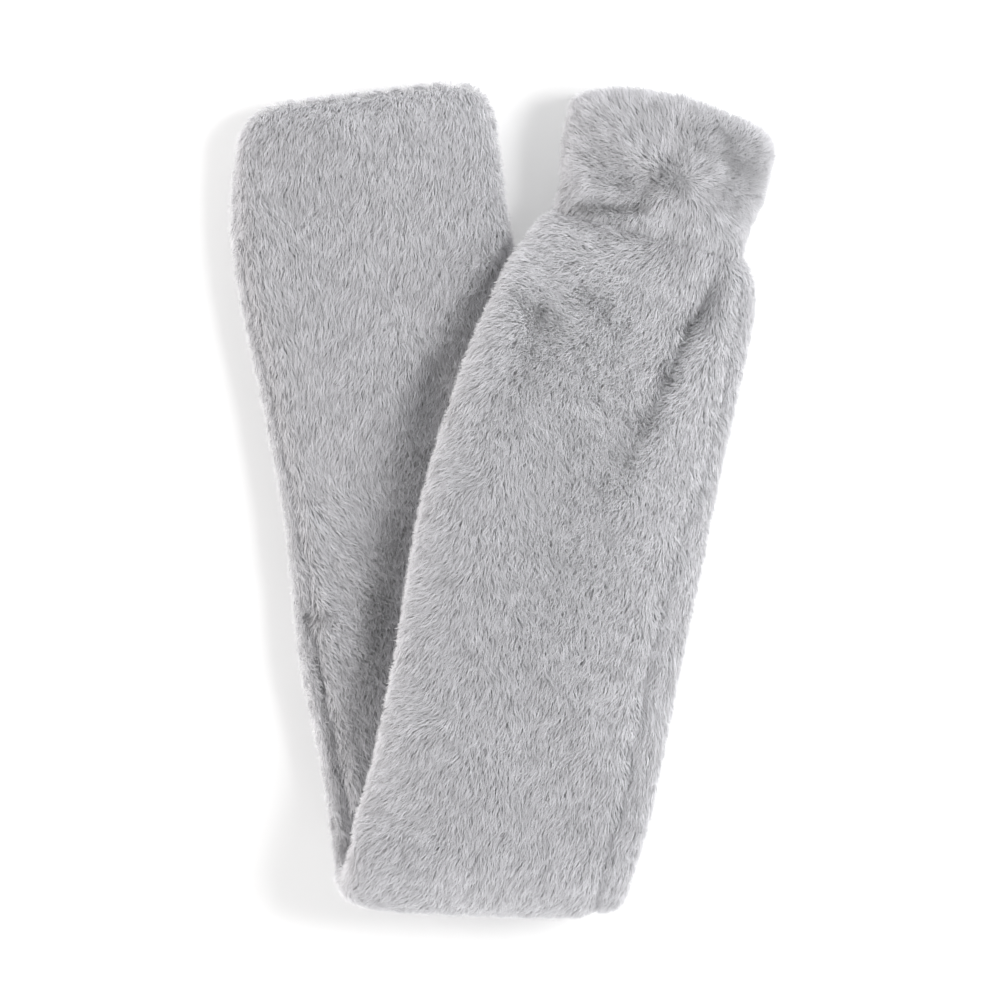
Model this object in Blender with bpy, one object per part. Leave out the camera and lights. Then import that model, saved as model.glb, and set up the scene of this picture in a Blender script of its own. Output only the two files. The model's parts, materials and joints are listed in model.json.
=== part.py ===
"""Hot water bottle cover: a long plush sleeve with a turned-down collar, folded once and lying flat.

The sleeve runs from its closed end, along the lower limb, round one fold and up the upper limb to
its neck. Two panels meet in a seam down each side, and a band sewn to the neck turns down over it.
The outline seen from above lies in X and Y, with the closed end and the neck towards +Y.
"""

import math
from collections import namedtuple

import bmesh
import bpy
import numpy as np
from mathutils import Matrix, Vector

MM = 0.001

# The cloth, in millimetres: a knitted backing with its pile standing on the outside.
WALL = 9.0                 # backing and pile together
NECK_WALL = 6.5            # the same, pressed flat under the collar
NECK_THINS = (-14.0, 6.0)  # where it thins, from the collar's rim towards the neck
PRESSED = 1.0              # the cloth is this much thinner where the cover lies on it
SEAM_GAP = 0.3             # the two panels lie this far apart along their seams
SEAM_GROOVE_DEPTH = 3.4    # the pile dips into each seam
SEAM_GROOVE_WIDTH = 8.0

# The sleeve's cross-section is a soft flattened oval: a superellipse of this exponent.
OVAL_POWER = 3.0
OVAL_ANGLES = np.linspace(0.0, 2 * math.pi, 361)
NORMAL_REACH = 0.5         # the outline's direction is read between points this far to each side

# The closed end, rounded off in plan at its corners and in depth along its edge.
END_CORNER_RADIUS = 19.0
END_EDGE_RADIUS = 23.0
THINNEST = 0.02            # half the depth that is left at the very tip
HOLLOW_LEAD = 60.0         # over this length the hollow's rows draw level with the outer ones
PARTING_EASE = 4.0         # how soon the end seam's gap reaches its full width

# The fold: the sleeve turns half round a line that is low on the right.
FOLD_RADIUS = 18.2         # from the fold's line to the middle of the sleeve
FOLD_LINE_TURN = -2.0      # degrees, seen from above

# The turned-down collar, along the neck from its lower rim.
COLLAR_LENGTH = 54.5
COLLAR_PILE = 9.0          # how far it stands off the neck under it
COLLAR_CLEARANCE = 0.6     # between the neck and the collar over it
COLLAR_COVERS = (-8.0, 2.0)  # creases fade out under its rim over this stretch
LIP_DEPTH = 17.0           # the neck's own edge ends this far inside the collar's top
LIP_LEDGE = 5.0            # the lip's inner face starts this far above the neck's edge
LIP_ROUND = 9.0            # how far down from the top the lip is rounded
LIP_CROWN = 6.5            # the lip's middle stands this much further out than its corners
LIP_STEPS = 6

# The collar's outer side from its rim to its lip: distance up the neck and stand-off from it.
CollarPoint = namedtuple("CollarPoint", "along stand_off")
COLLAR_SIDE = [
    CollarPoint(-1.6, 3.6),
    CollarPoint(0.6, 6.0),
    CollarPoint(7.0, 7.6),
    CollarPoint(18.0, 9.3),
    CollarPoint(30.0, 9.9),
    CollarPoint(41.0, 9.3),
]

# How finely the sleeve is divided.
OUTER_STEPS = 20
INNER_STEPS = 8
SEAM_SHARES = (0.0, 0.3, 0.65)  # the outer points nearest each seam, as shares of the groove's width
END_STEPS = 7
LOWER_STEPS = 22
FOLD_STEPS = 17
UPPER_STEPS = 20
SHOULDER_STEPS = 9
COLLAR_STEPS = 44
UNDER_COLLAR_STEPS = 5

# The middle of the finished outline in the coordinates of the tables below, where the part's origin is.
OUTLINE_MIDDLE = Vector((1.3, 0.5, 0.0))

# Sections of the sleeve. x, y and z place its middle, turn is the angle of its width seen from above
# and roll lowers its right side, in degrees. sag curves the right side down further, and seam is how
# far the side seams have crept round the edges.
Section = namedtuple("Section", "x y z turn roll half_width half_depth sag seam")

LOWER_LIMB = [
    #        x       y       z     turn  roll  width depth sag   seam
    Section(-64.2, 194.6, 16.2, 7.0, 0.0, 61.0, 16.5, 0.0, 0.0),
    Section(-64.2, 170.0, 16.0, 8.0, 0.0, 64.2, 17.0, 0.0, 3.5),
    Section(-63.4, 148.0, 16.0, 8.8, 0.0, 66.0, 17.0, 0.0, 6.5),
    Section(-60.8, 122.0, 16.0, 9.0, 0.0, 66.8, 17.0, 0.0, 8.0),
    Section(-54.0, 86.0, 16.0, 9.5, 0.0, 66.8, 17.0, 0.0, 9.0),
    Section(-45.8, 48.0, 16.0, 9.8, 0.0, 66.6, 17.0, 0.0, 9.5),
    Section(-38.8, 10.0, 16.0, 9.6, 0.0, 66.6, 17.0, 0.0, 11.0),
    Section(-33.2, -28.0, 16.0, 9.2, 0.0, 67.2, 17.0, 0.0, 14.0),
    Section(-28.4, -66.0, 16.0, 9.0, 0.0, 68.2, 17.0, 0.0, 16.5),
    Section(-21.6, -104.0, 16.0, 9.0, 0.0, 67.0, 17.0, 0.0, 17.5),
    Section(-17.0, -134.0, 16.0, 9.0, 0.0, 66.6, 17.0, 0.0, 18.0),
    Section(-12.8, -162.4, 16.0, 9.0, 0.0, 67.2, 17.0, 0.0, 18.5),
]

# The upper limb starts where the fold ends, and its last rows run through the collar.
UPPER_LIMB = [
    #        x       y       z     turn   roll  width depth sag   seam
    Section(3.6, -146.0, 52.6, -13.0, 0.0, 67.0, 17.0, 1.0, 20.0),
    Section(11.8, -110.7, 52.4, -13.0, 1.0, 67.0, 17.0, 4.0, 20.5),
    Section(19.2, -72.7, 52.0, -13.0, 2.0, 67.4, 17.0, 9.0, 21.0),
    Section(30.0, -15.7, 51.2, -13.2, 4.0, 68.6, 17.0, 14.0, 20.0),
    Section(39.2, 21.1, 49.4, -14.0, 6.5, 67.4, 17.0, 18.0, 15.0),
    Section(50.2, 59.4, 42.0, -14.5, 8.0, 65.2, 17.0, 17.0, 13.5),
    Section(56.6, 78.9, 35.0, -15.0, 9.0, 63.2, 17.0, 12.0, 15.0),
    Section(61.4, 93.3, 28.6, -15.0, 9.0, 61.6, 17.0, 7.0, 15.5),
    Section(66.4, 106.4, 24.6, -15.0, 6.0, 58.2, 17.0, 3.0, 15.0),
    Section(69.4, 118.4, 23.2, -14.4, 3.0, 52.8, 16.6, 1.0, 12.0),
    Section(71.4, 129.8, 22.8, -13.8, 1.5, 41.6, 14.6, 0.0, 8.0),
    Section(74.6, 140.9, 22.6, -14.6, 1.0, 39.6, 14.0, 0.0, 6.0),
    Section(79.6, 159.6, 22.6, -15.8, 0.0, 40.6, 14.2, 0.0, 6.0),
    Section(86.2, 185.0, 22.6, -17.0, 0.0, 40.8, 13.6, 0.0, 6.0),
]
SHOULDER_ROW = 6           # where the limb starts to narrow to its neck
COLLAR_START_ROW = 10      # where the collar's rim lies
SAG_POWER = 1.8            # the sag grows towards the right side with this power

# Creases and dents of the upper faces: soft troughs, or ridges where the depth is negative. Each has its
# half width and the points that it runs through, with the depth at each.
Crease = namedtuple("Crease", "half_width points")

CREASES = {
    "gather below the collar": Crease(
        11.0, [(103, 114, 3.0), (91, 80, 4.6), (78, 52, 4.2), (66, 28, 3.0), (49, 4, 0.6)]
    ),
    "swell beside the gather": Crease(12.0, [(112, 100, -1.8), (104, 58, -1.6)]),
    "hollow inside the left shoulder": Crease(14.0, [(24, 100, 1.6), (20, 78, 2.4)]),
    "swell of the left shoulder": Crease(13.0, [(6, 86, -1.2), (-8, 60, -1.2)]),
    "pinch in the middle": Crease(8.0, [(50, -3, -1.4), (76, 4, -1.4)]),
    "hollow under the pinch": Crease(12.0, [(52, -16, 1.2), (80, -10, 1.2)]),
    "hollow near the fold": Crease(22.0, [(22, -118, 1.4), (12, -90, 1.0)]),
    "dent of the lower limb": Crease(14.0, [(-30, 60, 2.0), (-34, 40, 1.6)]),
    "side dent": Crease(10.0, [(-87, 2, 1.8), (-84, -6, 1.2)]),
    "swirl": Crease(11.0, [(-83, -32, 2.0), (-74, -48, 1.4)]),
    "pucker at the seam": Crease(8.0, [(-98, -48, 1.6), (-86, -58, 1.6)]),
    "collar's left dimple": Crease(14.0, [(50, 160, 2.2), (66, 150, 2.2)]),
    "collar's right dimple": Crease(12.0, [(106, 168, 2.2), (111, 154, 1.8)]),
    "collar's ridge": Crease(10.0, [(91, 186, -1.6), (89, 160, -1.0)]),
}

# The plush's own soft lumps: waves across the upper faces, in millimetres and radians.
Lump = namedtuple("Lump", "height along_x along_y phase")
LUMPS = [Lump(0.45, 0.071, 0.052, 0.6), Lump(0.35, -0.047, 0.113, 2.1)]

GREY_PLUSH = (0.50, 0.50, 0.53, 1.0)
PLUSH_ROUGHNESS = 0.95

Frame = namedtuple("Frame", "centre across depth section")


def share_between(value, start, end):
    """How far a value has come from start to end, from 0 to 1."""
    return min(max((value - start) / (end - start), 0.0), 1.0)


# ---------------------------------------------------------------- the sleeve's path and sections


def travelled(rows):
    """The distance in plan along the rows' middles, one value a row."""
    steps = [math.hypot(b.x - a.x, b.y - a.y) for a, b in zip(rows, rows[1:])]
    return np.concatenate([[0.0], np.cumsum(steps)])


def smooth_row(rows, marks, at):
    """The section at a distance along the rows, eased through them column by column."""
    table = np.array(rows)
    slopes = np.gradient(table, marks, axis=0)
    i = int(np.clip(np.searchsorted(marks, at, side="right") - 1, 0, len(marks) - 2))
    span = marks[i + 1] - marks[i]
    t = (at - marks[i]) / span
    rise = table[i] * (1 + 2 * t) * (1 - t) ** 2 + table[i + 1] * t * t * (3 - 2 * t)
    bend = slopes[i] * t * (1 - t) ** 2 - slopes[i + 1] * t * t * (1 - t)
    return Section(*(rise + span * bend))


def limb_frame(section, upward):
    """A section's frame on a limb: depth points to the back panel, up on the lower limb."""
    turn = math.radians(section.turn)
    roll = math.radians(section.roll)
    across = Vector((math.cos(turn) * math.cos(roll), math.sin(turn) * math.cos(roll), -math.sin(roll)))
    depth = Vector((math.cos(turn) * math.sin(roll), math.sin(turn) * math.sin(roll), math.cos(roll)))
    return Frame(Vector((section.x, section.y, section.z)), across, depth * upward, section)


def fold_frames(start, after):
    """Frames round the fold: the last frame of the lower limb, turned about the fold's line."""
    line_turn = math.radians(FOLD_LINE_TURN)
    line = Vector((math.cos(line_turn), math.sin(line_turn), 0.0))
    above = start.centre + Vector((0.0, 0.0, FOLD_RADIUS))
    along = start.across.cross(start.depth)
    creep = FOLD_RADIUS * abs(along.dot(line)) / math.sqrt(1.0 - along.dot(line) ** 2)
    frames = []
    for step in range(1, FOLD_STEPS + 1):
        angle = math.pi * step / FOLD_STEPS
        turned = Matrix.Rotation(-angle, 3, line)
        centre = above + turned @ (start.centre - above) + line * creep * angle
        share = step / FOLD_STEPS
        section = Section(*(np.array(start.section) * (1 - share) + np.array(after) * share))
        frames.append(Frame(centre, turned @ start.across, turned @ start.depth, section._replace(sag=0.0)))
    return frames


def lower_marks(length):
    """Distances along the lower limb, close together where the closed end is rounded."""
    rounded_end = END_EDGE_RADIUS * (1 - np.cos(np.linspace(0.0, math.pi / 2, END_STEPS + 1)))
    return np.concatenate([rounded_end, np.linspace(END_EDGE_RADIUS, length, LOWER_STEPS + 1)[1:]])


def under_collar_marks():
    """Distances from the collar's rim to the neck's own edge under it."""
    return np.linspace(0.0, COLLAR_LENGTH - LIP_DEPTH - COLLAR_CLEARANCE, UNDER_COLLAR_STEPS + 1)


def upper_marks(marks):
    """Distances along the upper limb's led-in rows, closer together over the shoulder and in the neck."""
    shoulder = marks[SHOULDER_ROW + 1]
    rim = marks[COLLAR_START_ROW + 1]
    limb = np.linspace(0.0, shoulder, UPPER_STEPS + 1)[1:]
    neck = np.linspace(shoulder, rim, SHOULDER_STEPS + 1)[1:]
    return np.concatenate([limb, neck, rim + under_collar_marks()[1:]])


def upper_rows(fold_end):
    """The upper limb's rows, led in from where the fold ends."""
    first = UPPER_LIMB[0]
    lead = first._replace(x=fold_end.centre.x, y=fold_end.centre.y, z=fold_end.centre.z, sag=0.0)
    return [lead] + UPPER_LIMB


def sleeve_path():
    """All frames from the closed end to the neck's edge, and each one's distance from the closed end."""
    marks = travelled(LOWER_LIMB)
    lower = lower_marks(marks[-1])
    frames = [limb_frame(smooth_row(LOWER_LIMB, marks, at), 1.0) for at in lower]
    frames += fold_frames(frames[-1], UPPER_LIMB[0])
    fold = lower[-1] + math.pi * FOLD_RADIUS * np.linspace(0.0, 1.0, FOLD_STEPS + 1)[1:]
    rows = upper_rows(frames[-1])
    marks = travelled(rows)
    upper = upper_marks(marks)
    frames += [limb_frame(smooth_row(rows, marks, at), -1.0) for at in upper]
    return frames, np.concatenate([lower, fold, fold[-1] + upper])


# ---------------------------------------------------------------- one section's outline


def oval(half_width, half_depth):
    """A closed superellipse as points and the distance round it, from the right edge to the back panel."""
    power = 2.0 / OVAL_POWER
    across = half_width * np.sign(np.cos(OVAL_ANGLES)) * np.abs(np.cos(OVAL_ANGLES)) ** power
    depth = half_depth * np.sign(np.sin(OVAL_ANGLES)) * np.abs(np.sin(OVAL_ANGLES)) ** power
    round_it = np.concatenate([[0.0], np.cumsum(np.hypot(np.diff(across), np.diff(depth)))])
    return across, depth, round_it


def seam_inside(seam, outer_sizes, inner_sizes):
    """How far a seam has crept round the hollow's oval, straight in from where it is on the outer oval."""
    angle = np.interp(seam, oval(*outer_sizes)[2], OVAL_ANGLES)
    return np.interp(angle, OVAL_ANGLES, oval(*inner_sizes)[2])


def rounded(at, radius):
    """How much of its full size a rounded end has reached at a distance from its tip."""
    if at >= radius:
        return 1.0
    return math.sqrt(max(0.0, 1.0 - (1.0 - at / radius) ** 2))


def end_sizes(section, at, inset):
    """Half width and half depth of the sleeve, or of its hollow, near the closed end."""
    corner = END_CORNER_RADIUS - inset
    edge = END_EDGE_RADIUS - inset
    reached = max(at - inset, 0.0)
    half_width = section.half_width - inset - corner * (1.0 - rounded(reached, corner))
    half_depth = max((section.half_depth - inset) * rounded(reached, edge), THINNEST)
    return half_width, half_depth


def side_marks(span, steps):
    """Distances over one panel from seam to seam, with a few close to each seam where steps allow."""
    if steps <= INNER_STEPS:
        return np.linspace(0.0, span, steps + 1)
    near = np.array(SEAM_SHARES) * SEAM_GROOVE_WIDTH
    middle = np.linspace(SEAM_GROOVE_WIDTH, span - SEAM_GROOVE_WIDTH, steps + 1 - 2 * len(near))
    return np.concatenate([near, middle, span - near[::-1]])


def seam_groove(from_seam):
    """How far the pile dips at a distance from the nearer seam."""
    share = min(from_seam / SEAM_GROOVE_WIDTH, 1.0)
    return SEAM_GROOVE_DEPTH * (1.0 - share * share) ** 2


def panel_line(half_width, half_depth, seam, steps, is_back, grooved):
    """Points across one panel in the section's plane, each with its outward direction."""
    across, depth, round_it = oval(half_width, half_depth)
    whole = round_it[-1]
    start = -seam + SEAM_GAP / 2 + (0.0 if is_back else whole / 2)
    span = whole / 2 - SEAM_GAP
    points = []
    for mark in side_marks(span, steps):
        at = (start + mark) % whole
        u = np.interp(at, round_it, across)
        n = np.interp(at, round_it, depth)
        ahead = (at + NORMAL_REACH) % whole
        behind = (at - NORMAL_REACH) % whole
        run_u = np.interp(ahead, round_it, across) - np.interp(behind, round_it, across)
        run_n = np.interp(ahead, round_it, depth) - np.interp(behind, round_it, depth)
        run = math.hypot(run_u, run_n)
        outward = (run_n / run, -run_u / run)
        dip = grooved * seam_groove(min(mark, span - mark))
        points.append((u - outward[0] * dip, n - outward[1] * dip, outward))
    return points


# ---------------------------------------------------------------- creases and the surface below


def crease_depth(x, y):
    """How far the upper faces sink at a place seen from above."""
    return sum(one_crease_depth(crease, x, y) for crease in CREASES.values())


def one_crease_depth(crease, x, y):
    """One crease's depth at a place: deepest along its line and easing out to its half width."""
    deepest = 0.0
    for (x0, y0, depth0), (x1, y1, depth1) in zip(crease.points, crease.points[1:]):
        run_x, run_y = x1 - x0, y1 - y0
        share = ((x - x0) * run_x + (y - y0) * run_y) / (run_x ** 2 + run_y ** 2)
        share = min(max(share, 0.0), 1.0)
        away = math.hypot(x - x0 - share * run_x, y - y0 - share * run_y) / crease.half_width
        here = (depth0 + (depth1 - depth0) * share) * max(0.0, 1.0 - away * away) ** 2
        deepest = max(deepest, here, key=abs)
    return deepest


def unevenness(x, y):
    """How far the plush's lumps lower the upper faces at a place, under a millimetre either way."""
    return sum(lump.height * math.sin(lump.along_x * x + lump.along_y * y + lump.phase) for lump in LUMPS)


def laid(frame, u, n, outward, floor, softness=1.0):
    """A section's point in the model's frame: sagged, creased and kept on the surface below."""
    half_width = frame.section.half_width
    place = frame.centre + frame.across * u + frame.depth * n
    place.z -= frame.section.sag * share_between(u, -half_width, half_width) ** SAG_POWER
    facing_up = max(0.0, (frame.across * outward[0] + frame.depth * outward[1]).z)
    place.z -= (crease_depth(place.x, place.y) + unevenness(place.x, place.y)) * softness * facing_up ** 2
    place.z = max(place.z, floor)
    return (place - OUTLINE_MIDDLE) * MM


# ---------------------------------------------------------------- solids


def add_mesh(name, vertices, faces):
    """One closed mesh object of grey plush, its faces pointing out."""
    mesh = bpy.data.meshes.new(name)
    mesh.from_pydata([tuple(v) for v in vertices], [], faces)
    work = bmesh.new()
    work.from_mesh(mesh)
    bmesh.ops.recalc_face_normals(work, faces=work.faces)
    bmesh.ops.triangulate(work, faces=work.faces)
    work.to_mesh(mesh)
    work.free()
    mesh.shade_smooth()
    mesh.materials.append(plush())
    made = bpy.data.objects.new(name, mesh)
    bpy.context.scene.collection.objects.link(made)
    return made


def plush():
    """The grey plush that all the pieces are cut from."""
    material = bpy.data.materials.new("grey plush")
    material.use_nodes = True
    shader = material.node_tree.nodes["Principled BSDF"]
    shader.inputs["Base Color"].default_value = GREY_PLUSH
    shader.inputs["Roughness"].default_value = PLUSH_ROUGHNESS
    return material


def grid_faces(rows, columns, first, flip):
    """Quads over a grid of points numbered row by row."""
    faces = []
    for row in range(rows - 1):
        for column in range(columns - 1):
            a = first + row * columns + column
            quad = (a, a + 1, a + columns + 1, a + columns)
            faces.append(quad[::-1] if flip else quad)
    return faces


def strip_faces(outer_line, inner_line):
    """Triangles between two lines of as many points, cut alike on both panels so their gap stays even."""
    pairs = list(zip(outer_line, inner_line))
    faces = []
    for (a, b), (c, d) in zip(pairs, pairs[1:]):
        faces += [(a, b, d), (a, d, c)]
    return faces


def end_fan(outer_line, inner_line):
    """Triangles between two lines with different numbers of points."""
    faces = []
    i, j = 0, 0
    while i < len(outer_line) - 1 or j < len(inner_line) - 1:
        outer_share = (i + 1) / (len(outer_line) - 1)
        inner_share = (j + 1) / (len(inner_line) - 1)
        if j == len(inner_line) - 1 or (i < len(outer_line) - 1 and outer_share <= inner_share):
            faces.append((outer_line[i], outer_line[i + 1], inner_line[j]))
            i += 1
        else:
            faces.append((outer_line[i], inner_line[j + 1], inner_line[j]))
            j += 1
    return faces


def wall_at(past_rim):
    """The cloth's thickness at a distance past the collar's rim, thinner where the collar presses on it."""
    share = share_between(past_rim, *NECK_THINS)
    return WALL + (NECK_WALL - WALL) * share * share * (3 - 2 * share)


def panel_row(frame, distance, past_rim, is_back):
    """One section's points across a panel: its outer side, then its inner side."""
    wall = wall_at(past_rim)
    covered = share_between(past_rim, *COLLAR_COVERS)
    near_end = max(0.0, 1.0 - distance / END_EDGE_RADIUS)
    softness = (1.0 - covered) * (1.0 - near_end)
    parting = (1.0 if is_back else -1.0) * SEAM_GAP / 2 * min(1.0, PARTING_EASE * near_end)
    width, depth = end_sizes(frame.section, distance, 0.0)
    sizes = (width - COLLAR_CLEARANCE * covered, max(depth - COLLAR_CLEARANCE * covered, THINNEST))
    line = panel_line(*sizes, frame.section.seam, OUTER_STEPS, is_back, softness)
    outer = [laid(frame, u, n + parting, out, 0.0, softness) for u, n, out in line]

    lead = wall * max(0.0, 1.0 - distance / HOLLOW_LEAD)
    hollow_sizes = end_sizes(frame.section, max(distance + lead, wall), wall)
    seam = seam_inside(frame.section.seam, sizes, hollow_sizes)
    line = panel_line(*hollow_sizes, seam, INNER_STEPS, is_back, 0.0)
    led = frame._replace(centre=frame.centre + frame.across.cross(frame.depth) * lead)
    inner = [laid(led, u, n + parting, out, wall - PRESSED, softness) for u, n, out in line]
    return outer, inner


def add_panel(name, frames, distances, is_back):
    """One panel of the sleeve, a curved sheet with its edges in the side seams and the end seam."""
    rim_at = distances[-1] - (COLLAR_LENGTH - LIP_DEPTH)
    rows = [panel_row(frame, at, at - rim_at, is_back) for frame, at in zip(frames, distances)]
    outer = [point for row_outer, _ in rows for point in row_outer]
    inner = [point for _, row_inner in rows for point in row_inner]
    wide, narrow = OUTER_STEPS + 1, INNER_STEPS + 1
    outer_at = np.arange(len(outer)).reshape(len(rows), wide)
    inner_at = np.arange(len(inner)).reshape(len(rows), narrow) + len(outer)
    faces = grid_faces(len(rows), wide, 0, False) + grid_faces(len(rows), narrow, len(outer), True)
    for side in (0, -1):
        faces += strip_faces(outer_at[:, side].tolist(), inner_at[:, side].tolist())
        faces += end_fan(outer_at[side].tolist(), inner_at[side].tolist())
    return add_mesh(name, outer + inner, faces)


def collar_profile():
    """The collar's own section, once round: distance up the neck and stand-off from the neck."""
    ledge = COLLAR_LENGTH - LIP_DEPTH
    lip_middle = (COLLAR_PILE - NECK_WALL) / 2
    lip_half = (COLLAR_PILE + NECK_WALL) / 2
    points = list(COLLAR_SIDE)
    for step in range(1, LIP_STEPS):
        angle = math.pi * step / LIP_STEPS
        along = COLLAR_LENGTH - LIP_ROUND * (1.0 - math.sin(angle))
        points.append(CollarPoint(along, lip_middle + lip_half * math.cos(angle)))
    points.append(CollarPoint(ledge + LIP_LEDGE, -NECK_WALL))
    points.append(CollarPoint(ledge, -NECK_WALL))
    points.append(CollarPoint(ledge, 0.0))
    return points + [CollarPoint(mark, 0.0) for mark in under_collar_marks()[::-1]]


def collar_ring(frame, along, stand_off):
    """The points round the neck at one point of the collar's section."""
    section = frame.section
    forward = frame.across.cross(frame.depth)
    across, depth, round_it = oval(section.half_width + stand_off, section.half_depth + stand_off)
    up_lip = max(0.0, (along - (COLLAR_LENGTH - LIP_DEPTH)) / LIP_DEPTH)
    softness = 1.0 if stand_off > 0.0 else 0.0
    ring = []
    for round_at in np.linspace(0.0, round_it[-1], COLLAR_STEPS + 1)[:-1]:
        u = np.interp(round_at, round_it, across)
        n = np.interp(round_at, round_it, depth)
        slope_u, slope_n = u / section.half_width ** 2, n / section.half_depth ** 2
        size = math.hypot(slope_u, slope_n)
        crown = LIP_CROWN * up_lip * (1.0 - (u / across[0]) ** 2)
        pushed = frame._replace(centre=frame.centre + forward * crown)
        ring.append(laid(pushed, u, n, (slope_u / size, slope_n / size), 0.0, softness))
    return ring


def add_collar():
    """The band sewn to the neck's edge and turned down over it, open at the top."""
    marks = travelled(UPPER_LIMB)
    vertices = []
    profile = collar_profile()
    for along, stand_off in profile:
        at = min(marks[COLLAR_START_ROW] + along, marks[-1])
        frame = limb_frame(smooth_row(UPPER_LIMB, marks, at), -1.0)
        vertices += collar_ring(frame, along, stand_off)
    faces = []
    for row in range(len(profile)):
        below = (row + 1) % len(profile)
        for step in range(COLLAR_STEPS):
            beside = (step + 1) % COLLAR_STEPS
            a, b = row * COLLAR_STEPS + step, row * COLLAR_STEPS + beside
            c, d = below * COLLAR_STEPS + beside, below * COLLAR_STEPS + step
            faces.append((a, b, c, d))
    return add_mesh("collar", vertices, faces)


def main():
    for old in list(bpy.data.objects):
        bpy.data.objects.remove(old)
    frames, distances = sleeve_path()
    add_panel("front_panel", frames, distances, is_back=False)
    add_panel("back_panel", frames, distances, is_back=True)
    add_collar()


main()
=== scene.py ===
"""Looks of a plush hot water bottle cover that lies folded once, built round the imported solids.

Each cloth is a closed sheet on its solid's folds, whose outer face is where the pile is rooted. The
pile is made of small bent blades, joined into a few meshes, that reach about as far as the solids do.
"""

import json
import math
from collections import namedtuple

import bmesh
import bpy
import numpy as np
from mathutils import Matrix, Vector
from mathutils.bvhtree import BVHTree

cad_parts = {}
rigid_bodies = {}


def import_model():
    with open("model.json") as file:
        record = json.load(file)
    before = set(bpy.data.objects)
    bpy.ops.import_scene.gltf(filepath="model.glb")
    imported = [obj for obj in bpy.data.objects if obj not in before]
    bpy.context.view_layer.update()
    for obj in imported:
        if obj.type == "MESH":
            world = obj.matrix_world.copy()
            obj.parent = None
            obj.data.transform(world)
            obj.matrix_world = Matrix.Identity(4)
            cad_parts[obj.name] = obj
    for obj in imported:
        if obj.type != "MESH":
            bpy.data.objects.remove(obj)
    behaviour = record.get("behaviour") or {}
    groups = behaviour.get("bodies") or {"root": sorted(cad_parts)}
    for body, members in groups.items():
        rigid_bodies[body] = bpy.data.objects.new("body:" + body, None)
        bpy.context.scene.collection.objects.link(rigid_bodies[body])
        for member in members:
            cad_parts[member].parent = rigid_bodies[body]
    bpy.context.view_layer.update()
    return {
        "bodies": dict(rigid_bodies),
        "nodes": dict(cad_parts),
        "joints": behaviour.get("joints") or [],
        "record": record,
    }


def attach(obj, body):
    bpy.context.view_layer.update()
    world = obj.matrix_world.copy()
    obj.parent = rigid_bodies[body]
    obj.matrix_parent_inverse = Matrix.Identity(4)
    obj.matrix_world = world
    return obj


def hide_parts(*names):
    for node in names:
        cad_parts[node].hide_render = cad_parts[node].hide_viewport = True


MM = 0.001

# The cloth, in millimetres, as in the part's source.
WALL = 9.0                 # backing and pile together
NECK_WALL = 6.5            # the same, pressed flat under the collar
NECK_THINS = (-14.0, 6.0)  # where it thins, from the collar's rim towards the neck
PRESSED = 1.0              # the cloth is this much thinner where the cover lies on it
SEAM_GAP = 0.3
OVAL_POWER = 3.0
OVAL_ANGLES = np.linspace(0.0, 2 * math.pi, 361)
NORMAL_REACH = 0.5
END_CORNER_RADIUS = 19.0
END_EDGE_RADIUS = 23.0
THINNEST = 0.02
HOLLOW_LEAD = 60.0
FOLD_RADIUS = 18.2
FOLD_LINE_TURN = -2.0
COLLAR_LENGTH = 54.5
COLLAR_COVERS = (-8.0, 2.0)
LIP_DEPTH = 17.0

# How far the collar's lip reaches at shares of its half width, and how far its left side leans out.
LIP_REACH = [
    (-1.0, -1.0), (-0.8, 5.0), (-0.5, 9.8), (0.0, 13.4), (0.25, 12.4), (0.5, 11.4), (0.8, 9.6), (1.0, 6.0)
]
FLARE_RIM = -1.0
FLARE_LIP = 3.0
FLARED_FACES = (0.5, 3.0)  # stand-offs between which the collar's sheet comes to flare
OUTLINE_MIDDLE = np.array((1.3, 0.5, 0.0))

# Sections of the sleeve. x, y and z place its middle, turn is the angle of its width seen from above
# and roll lowers its right side, in degrees. sag curves the right side down further, and seam is how
# far the side seams have crept round the edges, on the lower limb less far than in the solids.
Section = namedtuple("Section", "x y z turn roll half_width half_depth sag seam")

LOWER_LIMB = [
    #        x       y       z     turn  roll  width depth sag   seam
    Section(-64.2, 194.6, 16.2, 7.0, 0.0, 61.0, 16.5, 0.0, 0.0),
    Section(-64.2, 170.0, 16.0, 8.0, 0.0, 64.2, 17.0, 0.0, 3.5),
    Section(-63.4, 148.0, 16.0, 8.8, 0.0, 66.0, 17.0, 0.0, 6.5),
    Section(-60.8, 122.0, 16.0, 9.0, 0.0, 66.8, 17.0, 0.0, 8.0),
    Section(-54.0, 86.0, 16.0, 9.5, 0.0, 66.8, 17.0, 0.0, 9.0),
    Section(-45.8, 48.0, 16.0, 9.8, 0.0, 66.6, 17.0, 0.0, 9.5),
    Section(-38.8, 10.0, 16.0, 9.6, 0.0, 66.6, 17.0, 0.0, 11.0),
    Section(-33.2, -28.0, 16.0, 9.2, 0.0, 67.2, 17.0, 0.0, 12.0),
    Section(-28.4, -66.0, 16.0, 9.0, 0.0, 68.2, 17.0, 0.0, 13.0),
    Section(-21.6, -104.0, 16.0, 9.0, 0.0, 67.0, 17.0, 0.0, 13.6),
    Section(-17.0, -134.0, 16.0, 9.0, 0.0, 66.6, 17.0, 0.0, 14.4),
    Section(-12.8, -162.4, 16.0, 9.0, 0.0, 67.2, 17.0, 0.0, 16.0),
]

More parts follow.
